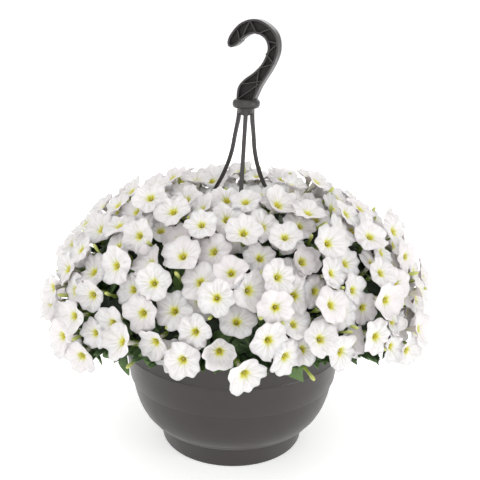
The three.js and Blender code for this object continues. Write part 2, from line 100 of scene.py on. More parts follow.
def spun(profile, steps):
    """A closed round shape from [radius, height] points in millimetres, from axis to axis."""
    shape = bmesh.new()
    corners = [shape.verts.new((r * MM, 0, z * MM)) for r, z in profile]
    sides = [shape.edges.new(pair) for pair in zip(corners, corners[1:])]
    bmesh.ops.spin(
        shape, geom=corners + sides, cent=(0, 0, 0), axis=(0, 0, 1),
        angle=math.tau, steps=steps, use_merge=True,
    )
    bmesh.ops.remove_doubles(shape, verts=shape.verts, dist=WELD * MM)
    bmesh.ops.recalc_face_normals(shape, faces=shape.faces)
    return shape


def mesh_of(name, shape):
    """The mesh of a finished bmesh."""
    mesh = bpy.data.meshes.new(name)
    shape.to_mesh(mesh)
    shape.free()
    return mesh


def piece_of(name, shape, *finishes, crease=None):
    """A smooth-shaded piece of a bmesh, which rides on the one body that the basket has."""
    mesh = mesh_of(name, shape)
    for finish in finishes:
        mesh.materials.append(finish)
    mesh.shade_smooth()
    if crease:
        mesh.set_sharp_from_angle(angle=crease)
    piece = in_scene(name, mesh)
    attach(piece, "root")
    return piece


def cut_out(piece, cutter_shape):
    """Cuts a bmesh away from a finished piece."""
    cutter = in_scene("cutter", mesh_of("cutter", cutter_shape))
    cut = piece.modifiers.new("cut", "BOOLEAN")
    cut.operation = "DIFFERENCE"
    cut.solver = "EXACT"
    cut.object = cutter
    whole = piece.evaluated_get(bpy.context.evaluated_depsgraph_get())
    finished = bpy.data.meshes.new_from_object(whole)
    piece.modifiers.clear()
    piece.data = finished
    bpy.data.objects.remove(cutter)


def feed(shader_node, sockets):
    """Sets a node's inputs, each to a number, a colour or another node's output."""
    for name, value in sockets.items():
        if isinstance(value, bpy.types.NodeSocket):
            shader_node.id_data.links.new(value, shader_node.inputs[name])
        else:
            shader_node.inputs[name].default_value = value


def node(tree, kind, sockets=None, **settings):
    """A new shader node of a kind, with its settings and its inputs."""
    made = tree.nodes.new("ShaderNode" + kind)
    for setting, value in settings.items():
        setattr(made, setting, value)
    feed(made, sockets or {})
    return made


def object_place(tree):
    """Where a point of the surface lies on its piece."""
    return node(tree, "TexCoord").outputs["Object"]


def noise(tree, place, scale, detail=2):
    """A cloudy pattern, finer with a larger scale."""
    sockets = {"Vector": place, "Scale": scale, "Detail": detail}
    return node(tree, "TexNoise", sockets).outputs["Fac"]


def maths(tree, operation, *terms):
    """One step of arithmetic with values that change over the surface."""
    sockets = dict(enumerate(terms))
    return node(tree, "Math", sockets, operation=operation).outputs["Value"]


def rising(tree, value, start, end, top=1):
    """0 where a value is at the start or before it, and top where it is at the end or past it."""
    sockets = {"Value": value, "From Min": start, "From Max": end, "To Max": top}
    return node(tree, "MapRange", sockets).outputs["Result"]


def mixed_colour(tree, share, first, second, blend="MIX"):
    """The first colour with a share of the second."""
    sockets = {"Factor": share, 6: first, 7: second}
    return node(tree, "Mix", sockets, data_type="RGBA", blend_type=blend).outputs[2]


def bumped(tree, height, strength, distance, invert=False):
    """The normals of a fine relief."""
    sockets = {"Height": height, "Strength": strength, "Distance": distance}
    return node(tree, "Bump", sockets, invert=invert).outputs["Normal"]


def blank_finish(name):
    """A material with a Principled shader, and its node tree and shader."""
    finish = bpy.data.materials.new(name)
    finish.use_nodes = True
    return finish, finish.node_tree, finish.node_tree.nodes["Principled BSDF"]


def wired_group(name, inputs, outputs):
    """A shader node group with named sockets, given as {name: kind of socket}."""
    group = bpy.data.node_groups.new(name, "ShaderNodeTree")
    for side, sockets in (("INPUT", inputs), ("OUTPUT", outputs)):
        for socket, kind in sockets.items():
            group.interface.new_socket(name=socket, in_out=side, socket_type="NodeSocket" + kind)
    return group, group.nodes.new("NodeGroupInput"), group.nodes.new("NodeGroupOutput")


# Moulded plastic: cloudy colour, handling dust that dulls it in patches, and a fine mould grain
moulding, moulding_in, moulding_out = wired_group(
    "moulded_plastic",
    {"Colour": "Color", "Dust": "Color", "Roughness": "Float"},
    {"Colour": "Color", "Roughness": "Float", "Height": "Float"},
)
given = moulding_in.outputs
moulding_place = object_place(moulding)
cloud = noise(moulding, moulding_place, 26, detail=4)
dusty = rising(moulding, cloud, 0.42, 0.75, top=0.35)
dulled = maths(moulding, "MULTIPLY", dusty, 0.3)
feed(moulding_out, {
    "Colour": mixed_colour(moulding, dusty, given["Colour"], given["Dust"]),
    "Roughness": maths(moulding, "ADD", given["Roughness"], dulled),
    "Height": noise(moulding, moulding_place, 1500),
})


def plastic(name, colour, dust, roughness, gloss):
    """A moulded plastic, satin or matt."""
    finish, tree, shader = blank_finish(name)
    sockets = {"Colour": (*colour, 1), "Dust": (*dust, 1), "Roughness": roughness}
    skin = node(tree, "Group", sockets, node_tree=moulding).outputs
    feed(shader, {
        "Base Color": skin["Colour"],
        "Roughness": skin["Roughness"],
        "Specular IOR Level": gloss,
        "Normal": bumped(tree, skin["Height"], strength=0.12, distance=0.2 * MM),
    })
    return finish


pot_grey = plastic(
    "pot_warm_grey_plastic", colour=(0.031, 0.0258, 0.0238), dust=(0.042, 0.0355, 0.033),
    roughness=0.33, gloss=0.40,
)
pot = piece_of("pot_bowl", spun(POT_OUTSIDE + POT_INSIDE, POT_STEPS), pot_grey)
drains = bmesh.new()
for hole in range(DRAIN_HOLES):
    middle = outward((hole + 0.5) * math.tau / DRAIN_HOLES) * DRAIN_RING * MM
    bmesh.ops.create_cone(
        drains, cap_ends=True, segments=DRAIN_STEPS, radius1=DRAIN_RADIUS * MM,
        radius2=DRAIN_RADIUS * MM, depth=DRAIN_DEPTH * MM, matrix=Matrix.Translation(middle),
    )
cut_out(pot, drains)
pot.data.shade_smooth()
pot.data.set_sharp_from_angle(angle=MOULDED_CREASE)
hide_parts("pot")


# Potting mix
# Dark peat and bark that fills the pot to a finger's width under the rim.
# Only the drain holes and the gaps between the stems let it be seen, so it keeps its solid.
def ramp(tree, share, stops):
    """A colour ramp with its stops as [place, colour]."""
    made = node(tree, "ValToRGB", {"Fac": share})
    elements = made.color_ramp.elements
    while len(elements) < len(stops):
        elements.new(0.5)
    for element, (place, colour) in zip(elements, stops):
        element.position = place
        element.color = (*colour, 1)
    return made.outputs["Color"]


def cells(tree, place, scale):
    """How far a point is from the nearest of many scattered middles."""
    sockets = {"Vector": place, "Scale": scale}
    return node(tree, "TexVoronoi", sockets).outputs["Distance"]


mix, mix_tree, mix_shader = blank_finish("potting_mix_dark_peat")
mix_place = object_place(mix_tree)
fibres = noise(mix_tree, mix_place, 700, detail=6)
feed(mix_shader, {
    "Base Color": ramp(mix_tree, fibres, [
        (0.3, (0.008, 0.005, 0.004)), (0.55, (0.03, 0.018, 0.011)), (0.8, (0.09, 0.055, 0.03)),
    ]),
    "Normal": bumped(mix_tree, cells(mix_tree, mix_place, 260), strength=0.8, distance=2 * MM),
    "Roughness": 0.95,
})
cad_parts["soil"].data.materials.clear()
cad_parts["soil"].data.materials.append(mix)

# Hanger hook
# An open hook of charcoal polypropylene, moulded with an I section: a thin web inside a flange,
# with zigzag ribs that stand on the web. It grows out of a round collar.
COLLAR_MIDDLE = 415.5
HOOK_TURN = math.radians(-20)
HOOK_DEPTH = 13
HOOK_FLANGE = 2.3
HOOK_WEB = 3
HOOK_RIB = 1.3
RIB_SHORTER = 1
HALVES_WELD = 0.001
LEAN_START = (RIM_TOP + 6) * MM
HANGER_LEAN = math.tan(math.radians(2.3))
CURVE_STEPS = 4
SOFT_EDGE_STEPS = 2
SOFT_EDGE_ANGLE = math.radians(32)
HOOK_OUTER_EDGE = [
    (10, 2), (16.8, 19), (28.8, 40), (35, 59), (31, 77),
    (16.5, 89), (2, 91.6), (-12, 86), (-22, 74), (-24.6, 66),
]
HOOK_TIP = [(-23.6, 62.2), (-20.4, 60.6)]
HOOK_INNER_EDGE = [
    (-17, 61.5), (-12.5, 64.5), (-5, 72), (6.5, 76.4), (18, 72), (22.8, 61),
    (18, 46), (8.8, 35.2), (-2.6, 26.4), (-9.2, 17), (-10, 2),
]
HOOK_RIBS = [
    (-14, 80, -10, 67), (-10, 67, 0, 90), (0, 90, 9, 76), (9, 76, 24, 82),
    (21, 69, 34, 67), (34, 67, 21, 55), (21, 55, 31, 45), (31, 45, 14, 40),
    (14, 40, 12, 11), (20, 26, -7, 21), (20, 26, -8, 5),
]


def smooth_line(points):
    """A smooth curve through flat points."""
    points = [Vector(point) for point in points]
    ends = [points[0], *points, points[-1]]
    line = []
    for before, start, end, after in zip(ends, ends[1:], ends[2:], ends[3:]):
        leave = (end - before) / 2
        arrive = (after - start) / 2
        for step in range(CURVE_STEPS):
            t = step / CURVE_STEPS
            line.append(
                start * (2 * t**3 - 3 * t**2 + 1) + leave * (t**3 - 2 * t**2 + t)
                + end * (3 * t**2 - 2 * t**3) + arrive * (t**3 - t**2)
            )
    return line + [points[-1]]


def upright_face(shape, outline, depth):
    """A flat face with a counter-clockwise outline, so far in front of the XZ plane."""
    return shape.faces.new([shape.verts.new((x * MM, -depth * MM, z * MM)) for x, z in outline])


def only(kind, made):
    """The corners or the faces among what an operator made."""
    return [part for part in made["geom"] if isinstance(part, kind)]


def lean(shape):
    """The whole hanger has drifted sideways above its clips."""
    for v in shape.verts:
        v.co.x += max(0, v.co.z - LEAN_START) * HANGER_LEAN


def softened(piece, width):
    """Small round edges, as a mould leaves them."""
    edge = piece.modifiers.new("mould_edges", "BEVEL")
    edge.width = width * MM
    edge.segments = SOFT_EDGE_STEPS
    edge.limit_method = "ANGLE"
    edge.angle_limit = SOFT_EDGE_ANGLE


charcoal = plastic(
    "hanger_charcoal_plastic", colour=(0.036, 0.031, 0.0315), dust=(0.062, 0.055, 0.055),
    roughness=0.36, gloss=0.38,
)
# The hook's pocket floors: a rougher plastic, darker than the rest; the darkness is painted shade
# of the pockets.
charcoal_web_painted_shade = plastic(
    "hanger_matt_web_plastic_painted_shade", colour=(0.013, 0.011, 0.0105), dust=(0.024, 0.021, 0.020),
    roughness=0.55, gloss=0.3,
)
hook_tip = [Vector(point) for point in HOOK_TIP]
hook_outline = smooth_line(HOOK_OUTER_EDGE) + hook_tip + smooth_line(HOOK_INNER_EDGE)
hook_shape = bmesh.new()
hook_front = upright_face(hook_shape, hook_outline, HOOK_DEPTH / 2)
hook_walls = bmesh.ops.extrude_edge_only(hook_shape, edges=hook_front.edges[:])
for v in only(bmesh.types.BMVert, hook_walls):
    v.co.y = 0
bmesh.ops.inset_region(
    hook_shape, faces=[hook_front], thickness=HOOK_FLANGE * MM, use_even_offset=True,
)
pocket = bmesh.ops.extrude_face_region(hook_shape, geom=[hook_front])
for v in only(bmesh.types.BMVert, pocket):
    v.co.y = -HOOK_WEB / 2 * MM
# The pocket floors take the darker plastic: painted shade in the hook's pockets.
for face in only(bmesh.types.BMFace, pocket):
    face.material_index = 1
bmesh.ops.delete(hook_shape, geom=[hook_front], context="FACES_ONLY")
half = hook_shape.verts[:] + hook_shape.edges[:] + hook_shape.faces[:]
bmesh.ops.mirror(hook_shape, geom=half, axis="Y", merge_dist=HALVES_WELD * MM)
bmesh.ops.recalc_face_normals(hook_shape, faces=hook_shape.faces)
for x0, z0, x1, z1 in HOOK_RIBS:
    span = Vector((x1 - x0, z1 - z0))
    size = (span.length * MM, (HOOK_DEPTH - RIB_SHORTER) * MM, HOOK_RIB * MM, 1)
    middle = Vector(((x0 + x1) / 2, 0, (z0 + z1) / 2)) * MM
    turn = Matrix.Rotation(-math.atan2(span.y, span.x), 4, "Y")
    bmesh.ops.create_cube(
        hook_shape, size=1, matrix=Matrix.Translation(middle) @ turn @ Matrix.Diagonal(size),
    )
bmesh.ops.transform(
    hook_shape, verts=hook_shape.verts,
    matrix=Matrix.Translation((0, 0, COLLAR_MIDDLE * MM)) @ Matrix.Rotation(HOOK_TURN, 4, "Z"),
)
lean(hook_shape)
hook = piece_of("hanger_hook", hook_shape, charcoal, charcoal_web_painted_shade, crease=MOULDED_CREASE)
softened(hook, 0.35)
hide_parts("hanger")

# Hanger collar and arms
# A thick round-edged collar with a short block under it, of the same moulding as the hook.
# Three thin arms leave the block, spread out inside the plants and clip over the pot's rim.
COLLAR_STEPS = 48
COLLAR_CREASE = math.radians(50)
COLLAR_PROFILE = [
    (0, 410.2), (12.6, 410.4), (14.4, 411.2), (15.3, 413), (15.5, COLLAR_MIDDLE),
    (15.1, 417.8), (13.8, 419.6), (11.5, 420.3), (0, 420.3),
]
BLOCK_STEPS = 36
BLOCK_PROFILE = [(0, 401.5), (7.6, 401.5), (8.6, 402.3), (9.2, 412), (0, 412)]
BLOCK_ARCH = 3
ARCH_TOP = 403
ARMS = 3
ARM_WIDTH = 4.8
ARM_THICKNESS = 3.6
CLIP_WIDTH = 10
ARM_PATH = [
    (8.2, 413), (9, 398), (11.9, 381), (15.4, 359), (22.4, 337), (33.3, 315),
    (54, 283), (82, 241), (108, 203), (124, 181), (131, 169.8),
]
CLIP_OUTLINE = [
    (127.6, 158), (130.6, 158), (131.9, 168.3), (136.5, 168.3), (136.5, 155.9),
    (134.8, 155.9), (134.8, 154.7), (136.8, 153.3), (139.3, 154.7), (139.3, 171),
    (138.5, 171.8), (128.6, 171.8), (127.6, 170.8),
]

collar_shape = spun(COLLAR_PROFILE, COLLAR_STEPS)
block_shape = spun(BLOCK_PROFILE, BLOCK_STEPS)
for v in block_shape.verts:
    if v.co.z < ARCH_TOP * MM and v.co.xy.length > MM:
        between_arms = abs(math.cos(ARMS / 2 * (math.atan2(v.co.y, v.co.x) + math.pi / 2)))
        v.co.z += BLOCK_ARCH * (1 - between_arms**2) * MM
collar_shape.from_mesh(mesh_of("block", block_shape))
lean(collar_shape)
collar = piece_of("hanger_collar", collar_shape, charcoal, crease=COLLAR_CREASE)
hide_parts("hanger")


def slab(shape, outline, width):
    """A flat outline, thickened evenly to both sides of the XZ plane."""
    front = upright_face(shape, outline, width / 2)
    pushed = bmesh.ops.extrude_face_region(shape, geom=[front])
    back = only(bmesh.types.BMVert, pushed)
    bmesh.ops.translate(shape, verts=back, vec=(0, width * MM, 0))


def strip_outline(path, thickness):
    """The outline of a strip whose middle line is a flat path."""
    sides = []
    for i, spot in enumerate(path):
        along = (path[min(i + 1, len(path) - 1)] - path[max(i - 1, 0)]).normalized()
        across = Vector((-along.y, along.x)) * thickness / 2
        sides.append((spot + across, spot - across))
    return [right for left, right in sides] + [left for left, right in reversed(sides)]


arms_shape = bmesh.new()
for arm in range(ARMS):
    fresh = len(arms_shape.verts)
    slab(arms_shape, strip_outline(smooth_line(ARM_PATH), ARM_THICKNESS), ARM_WIDTH)
    slab(arms_shape, CLIP_OUTLINE, CLIP_WIDTH)
    arms_shape.verts.ensure_lookup_table()
    turn = Matrix.Rotation(arm * math.tau / ARMS - math.pi / 2, 4, "Z")
    bmesh.ops.transform(arms_shape, verts=arms_shape.verts[fresh:], matrix=turn)
bmesh.ops.recalc_face_normals(arms_shape, faces=arms_shape.faces)
lean(arms_shape)
arms = piece_of("hanger_arms", arms_shape, charcoal, crease=MOULDED_CREASE)
softened(arms, 0.6)
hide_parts("hanger")

# Leaves
# Three young plants fill the pot. Their stems branch into a close heart of leaves that comes up
# out of the potting mix and over the rim: oval, dark green and a little folded along the midrib.
PLANTS = 3
GOLDEN_ANGLE = math.pi * (3 - math.sqrt(5))
SITE_STEPS = 240
MOUND_SIDE_RADIUS = 216
MOUND_RIGHT_BULGE = 14
MOUND_FRONT_RADIUS = 190
MOUND_FRONT_ENDS = (0.5, 1.35)
MOUND_LUMPS = [(4, 3, 1), (3, 5, 0)]
MOUND_EQUATOR = 168
MOUND_RISE = 167
MOUND_DROOP = 118
MOUND_HOLLOW = 27
MOUND_HOLLOW_RADIUS = 55
MOUND_SIDE_EDGE = math.radians(113)
MOUND_RIGHT_EDGE = math.radians(94)
MOUND_FRONT_EDGE = math.radians(88)
MOUND_RAGS = [(0.06, 4, 2), (0.04, 7, 0)]


def chance(index, channel):
    """A repeatable draw from 0 to 1."""
    wave = math.sin(index * 12.9898 + channel * 78.233 + 5.17) * 43758.5453
    return wave - math.floor(wave)


def spread(index, channel):
    """A repeatable draw from -1 to 1."""
    return chance(index, channel) * 2 - 1


def smoothstep(value, low, high):
    """0 at low, 1 at high and a soft step between them. Low may be the higher of the two."""
    share = min(1, max(0, (value - low) / (high - low)))
    return share * share * (3 - 2 * share)


def mixed(a, b, share):
    """A value on the way from a to b."""
    return a + (b - a) * share


def waves(angle, parts):
    """Waves round a mound or a bloom, added up. Each is given as [height, count, start]."""
    return sum(height * math.sin(count * angle + start) for height, count, start in parts)


def fullness(azimuth):
    """0 at the front, where the mound is short, and 1 at the sides and the back."""
    turned_by = abs(math.atan2(math.sin(azimuth), math.cos(azimuth)))
    return smoothstep(turned_by, *MOUND_FRONT_ENDS)


def mound_radius(azimuth):
    """How far out the mound comes, in millimetres."""
    bulge = MOUND_RIGHT_BULGE * max(0, math.sin(azimuth))
    side = MOUND_SIDE_RADIUS + bulge + waves(azimuth, MOUND_LUMPS)
    return mixed(MOUND_FRONT_RADIUS, side, fullness(azimuth))


def mound_edge(azimuth):
    """How far down from the top the mound comes, as an angle."""
    side = mixed(MOUND_SIDE_EDGE, MOUND_RIGHT_EDGE, max(0, math.sin(azimuth)))
    return mixed(MOUND_FRONT_EDGE, side + waves(azimuth, MOUND_RAGS), fullness(azimuth))


def mound_normal(azimuth, theta):
    """Which way the mound faces, theta down from its top."""
    rise = MOUND_RISE if theta < math.pi / 2 else MOUND_DROOP
    normal = outward(azimuth) * math.sin(theta) / mound_radius(azimuth)
    normal.z = math.cos(theta) / rise
    return normal.normalized()


def mound_point(azimuth, theta, inset):
    """A place so many millimetres under the faces of the blooms."""
    rise = MOUND_RISE if theta < math.pi / 2 else MOUND_DROOP
    radius = mound_radius(azimuth) * math.sin(theta)
    spot = outward(azimuth) * radius
    spot.z = MOUND_EQUATOR + math.cos(theta) * rise
    spot.z -= MOUND_HOLLOW * math.exp(-((radius / MOUND_HOLLOW_RADIUS) ** 2))
    return (spot - mound_normal(azimuth, theta) * inset) * MM


def mound_sites(count):
    """Sites on a golden-angle spiral, evenly spaced over the mound."""
    areas = [0]
    for i in range(1, SITE_STEPS + 1):
        theta = i * MOUND_SIDE_EDGE / SITE_STEPS
        slant = math.hypot(MOUND_RISE * math.sin(theta), MOUND_SIDE_RADIUS * math.cos(theta))
        areas.append(areas[-1] + math.sin(theta) * slant)
    step = 0
    for i in range(count):
        area = areas[-1] * (i + 0.5) / count
        while areas[step + 1] < area:
            step += 1
        share = (area - areas[step]) / (areas[step + 1] - areas[step])
        theta = (step + share) * MOUND_SIDE_EDGE / SITE_STEPS
        azimuth = i * GOLDEN_ANGLE
        if theta <= mound_edge(azimuth):
            yield i, azimuth, theta


def plant_of(spot):
    """Which of the three plants a place belongs to."""
    azimuth = math.atan2(spot.x, -spot.y) % math.tau
    return int(azimuth / (math.tau / PLANTS)) % PLANTS


def aimed(along, up):
    """A turn that lays Y along a direction, with Z as near as it can be to up."""
    along = along.normalized()
    side = along.cross(up).normalized()
    return Matrix((side, along, side.cross(along))).transposed()


def added(shape, mesh):
    """Sets a mesh in a shape, and gives the new corners."""
    fresh = len(shape.verts)
    shape.from_mesh(mesh)
    shape.verts.ensure_lookup_table()
    return shape.verts[fresh:]


def noted(tree, layer):
    """What a piece's mesh has noted at each of its points."""
    return node(tree, "Attribute", attribute_name=layer).outputs


def leaf_finish():
    """Each leaf has its own depth of green, a paler midrib and side veins, and a soft sheen."""
    finish, tree, shader = blank_finish("petunia_leaf_green")
    parts = {"Vector": noted(tree, "leaf")["Vector"]}
    across, along, tone = node(tree, "SeparateXYZ", parts).outputs
    side = maths(tree, "ABSOLUTE", across)
    slant = maths(tree, "MULTIPLY_ADD", side, -0.35, along)
    wave = maths(tree, "SINE", maths(tree, "MULTIPLY", slant, 44))
    veins = rising(tree, wave, 0.7, 1, top=0.35)
    rib = rising(tree, side, 0.16, 0.02, top=0.6)
    pale = maths(tree, "MAXIMUM", rib, veins)
    mottle = noise(tree, object_place(tree), 160, detail=3)
    depth = maths(tree, "MULTIPLY_ADD", mottle, 0.35, tone)
    body = ramp(tree, depth, [
        (0.1, (0.015, 0.034, 0.013)), (0.55, (0.045, 0.098, 0.027)), (1.0, (0.13, 0.23, 0.05)),
    ])
    feed(shader, {
        "Base Color": mixed_colour(tree, pale, body, (0.13, 0.21, 0.06, 1)),
        "Normal": bumped(tree, pale, strength=0.5, distance=0.6 * MM, invert=True),
        "Roughness": 0.55,
    })
    return finish


# Heart of the plants: stems and inner leaves too close together to tell apart, nearly black green:
# leaf green with painted shade of the plant's depths
HEART_STEPS = 72
HEART_BLANK_RADIUS = 10
HEART_UNDERSIDE = [(126, 150.3, 150.3), (126, 175, 175), (146, 175, 175), (152, 175, 140)]
HEART_HEIGHTS = [0.98, 0.9, 0.8, 0.7, 0.6, 0.5, 0.4, 0.3, 0.2, 0.1]
HEART_INSET = 33
HEART_LUMPS = [(4, 9, 3), (3, 17, -5)]
HEART_SHOULDER = 7
SHOULDER_STARTS = (0.15, 0.4)
SHOULDER_ENDS = (1.0, 0.7)

heart_green_painted_shade, heart_tree, heart_shader = blank_finish("petunia_inner_green_painted_shade")
heart_place = object_place(heart_tree)
heart_tone = noise(heart_tree, heart_place, 60, detail=5)
heart_leaves = cells(heart_tree, heart_place, 75)
# The near-black greens are painted shade deep inside the plant, over the leaves' own dark green.
feed(heart_shader, {
    "Base Color": ramp(heart_tree, heart_tone, [
        (0.35, (0.004, 0.008, 0.004)), (0.6, (0.014, 0.030, 0.011)), (0.8, (0.035, 0.065, 0.018)),
    ]),
    "Normal": bumped(heart_tree, heart_leaves, strength=1, distance=6 * MM),
    "Roughness": 0.7,
})

heart_rings = len(HEART_UNDERSIDE) + len(HEART_HEIGHTS)
heart_blank = [(HEART_BLANK_RADIUS, ring) for ring in range(heart_rings)]
heart_shape = spun([(0, -1), *heart_blank, (0, heart_rings)], HEART_STEPS)
for v in heart_shape.verts:
    ring = round(v.co.z / MM)
    azimuth = math.atan2(v.co.x, -v.co.y)
    if ring < 0:
        v.co = (0, 0, HEART_UNDERSIDE[0][1] * MM)
    elif ring < len(HEART_UNDERSIDE):
        radius, front_height, side_height = HEART_UNDERSIDE[ring]
        v.co = outward(azimuth) * radius * MM
        v.co.z = mixed(front_height, side_height, fullness(azimuth)) * MM
    elif ring < heart_rings:
        theta = HEART_HEIGHTS[ring - len(HEART_UNDERSIDE)] * mound_edge(azimuth)
        lump = waves(azimuth, [(height, count, by * ring) for height, count, by in HEART_LUMPS])
        shoulder = smoothstep(theta, *SHOULDER_STARTS) * smoothstep(theta, *SHOULDER_ENDS)
        raised = (HEART_SHOULDER + lump / 2) * shoulder
        v.co = mound_point(azimuth, theta, HEART_INSET + lump - raised)
    else:
        v.co = mound_point(0, 0, HEART_INSET)
heart = piece_of("leafy_heart", heart_shape, heart_green_painted_shade)
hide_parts("foliage_01", "foliage_02", "foliage_03")

# Single leaves: they stand in the gaps between the blooms, round the heart
LEAF_SITES = 1250
LEAF_LENGTH = 33
LEAF_WIDTH = 17
LEAF_WIDTHS = [0.10, 0.16, 0.82, 1.0, 0.80, 0.42, 0.05]
LEAF_ROWS = 6
LEAF_FOLD = 0.32
LEAF_ARCH = 5.5
LEAF_WAVE = 1.6
LEAF_WAVES_ALONG = 7
LEAF_WAVES_ACROSS = 9
LEAF_THICKNESS = 0.45
LEAF_INSET = 38
LEAF_INSET_SPREAD = 3
LEAF_DROOP = 0.4
LEAF_LIFT = 0.38
LEAF_LIFT_SPREAD = 0.24
LEAF_SIZE_SPREAD = 0.25
LEAF_TONE = 0.1
LEAF_TONE_SPREAD = 0.6


def leaf_blade():
    """One leaf, a millimetre to a unit, from its stalk at the origin along Y."""
    blade = bmesh.new()
    bmesh.ops.create_grid(blade, x_segments=2, y_segments=LEAF_ROWS, size=0.5)
    for v in blade.verts:
        row = round((v.co.y + 0.5) * LEAF_ROWS)
        share = row / LEAF_ROWS
        half = v.co.x * LEAF_WIDTHS[row]
        fold = LEAF_FOLD * abs(half) * LEAF_WIDTH
        wave = LEAF_WAVE * math.sin(share * LEAF_WAVES_ALONG + LEAF_WAVES_ACROSS * half)
        arch = -LEAF_ARCH * share**2 + wave
        v.co = (half * LEAF_WIDTH, share * LEAF_LENGTH, fold + arch)
    return mesh_of("leaf_blade", blade)


def add_leaf(spot, turn, size, tone):
    """Sets one leaf in its plant and notes where each of its points lies on the blade."""
    shape = leaf_shapes[plant_of(spot)]
    fresh = added(shape, blade)
    layer = shape.verts.layers.float_vector["leaf"]
    for v in fresh:
        v[layer] = (v.co.x * 2 / LEAF_WIDTH, v.co.y / LEAF_LENGTH, tone)
        v.co = spot + turn @ (v.co * size * MM)


leaf_green = leaf_finish()
blade = leaf_blade()
leaf_shapes = [bmesh.new() for plant in range(PLANTS)]
for shape in leaf_shapes:
    shape.verts.layers.float_vector.new("leaf")
for i, azimuth, theta in mound_sites(LEAF_SITES):
    spot = mound_point(azimuth, theta, LEAF_INSET + LEAF_INSET_SPREAD * spread(i, 30))
    normal = mound_normal(azimuth, theta)
    heading = math.tau * chance(i, 31)
    down = normal.cross(outward(azimuth + math.pi / 2)).normalized()
    across = normal.cross(down)
    flat = down * math.cos(heading) + across * math.sin(heading) + down * LEAF_DROOP
    lift = LEAF_LIFT + LEAF_LIFT_SPREAD * spread(i, 32)
    turn = aimed(flat.normalized() + normal * lift, normal)
    size = 1 + LEAF_SIZE_SPREAD * spread(i, 33)
    add_leaf(spot, turn, size, LEAF_TONE + LEAF_TONE_SPREAD * chance(i, 34))

# Fringe: leaves that hang out from under the edge of the mound
FRINGE_LEAVES = 330
FRINGE_RADIUS = 150
FRINGE_FRONT_HEIGHT = 172
FRINGE_SIDE_HEIGHT = 146
FRINGE_OUT = 0.1
FRINGE_OUT_SPREAD = 0.75
FRINGE_FRONT_LIFT = 0.35
FRINGE_SIDE_LIFT = -0.1
FRINGE_HANGING = 0.35
FRINGE_ASIDE = 0.7
FRINGE_UPWARD = Vector((0, 0, 0.6))
FRINGE_SIZE = 0.95
FRINGE_TONE_SPREAD = 0.5

for i in range(FRINGE_LEAVES):
    azimuth = i * GOLDEN_ANGLE
    full = fullness(azimuth)
    edge = mound_point(azimuth, mound_edge(azimuth), LEAF_INSET)
    inner = outward(azimuth) * (FRINGE_RADIUS * MM)
    inner.z = mixed(FRINGE_FRONT_HEIGHT * MM, FRINGE_SIDE_HEIGHT * MM, full)
    spot = inner.lerp(edge, FRINGE_OUT + FRINGE_OUT_SPREAD * chance(i, 41))
    lift = mixed(FRINGE_FRONT_LIFT, FRINGE_SIDE_LIFT, full) - FRINGE_HANGING * chance(i, 42)
    aside = outward(azimuth + math.pi / 2) * FRINGE_ASIDE * spread(i, 43)
    along = outward(azimuth) + aside + Vector((0, 0, lift))
    turn = aimed(along, outward(azimuth) + FRINGE_UPWARD)
    size = FRINGE_SIZE + LEAF_SIZE_SPREAD * spread(i, 44)
    add_leaf(spot, turn, size, LEAF_TONE + FRINGE_TONE_SPREAD * chance(i, 45))

for plant, shape in enumerate(leaf_shapes):
    leaves = piece_of(f"leaves_{plant + 1:02}", shape, leaf_green)
    thick = leaves.modifiers.new("leaf_thickness", "SOLIDIFY")
    thick.thickness = LEAF_THICKNESS * MM
    thick.offset = 0
    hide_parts(f"foliage_{plant + 1:02}")

# Blooms
# White petunias, each one piece of thin petal: a narrow tube that flares to a wide flat limb of
# five waved lobes, with a yellow-green throat, fine veins and a pale tip of stamens inside it.
PETALS = 5
BLOOM_RADIUS = 21.8
BLOOM_STEPS = 50
BLOOM_FRONT = [
    (0, -11.5), (1.7, -9.5), (2.6, -5.8), (4.1, -3.4), (7, -1.6), (11.5, -0.4), (16.5, 0.2),
    (BLOOM_RADIUS, -0.1),
]
BLOOM_BACK = [
    (19.6, -0.6), (12.5, -1.3), (7.2, -3.1), (3.9, -7), (2.4, -15), (1.9, -25), (0, -25.3),
]
STAMEN_RADIUS = 0.75
STAMEN_SPOT = (0.35, -0.3, -5.4)

# Seats: read off the solid blooms
SOLID_WELD = 0.02
SOLID_RADIUS = 20.5
SAME_FACET = 0.9995
LEAST_FACETS = 7
THROAT_RISES = (0.15, 0.6)
THROAT_DEPTH = 7
BLOOM_SHARE = 0.94
BLOOM_SHARE_SPREAD = 0.05
BLOOM_SMALLEST = 0.84
BLOOM_LARGEST = 1.03
LOW_SHARE = 0.9
LOW_HEIGHTS = (110, 190)
LIGHT_SIDE = Vector((0, -0.95, 0.3))
LIGHT_LEAN = 0.42
TOP_LEAN = 0.6
OWN_LEAN = 0.26
SIDEWAYS = (0.35, 0.9)
NOT_BACKWARDS = (0.5, 0.1)
UPWARDS = (0.6, 0.9)
BACKWARDS = (-0.1, 0.3)
BUNCH_DRAWS = 100
ARMS_ROOM = 64
ARMS_SINK = 9


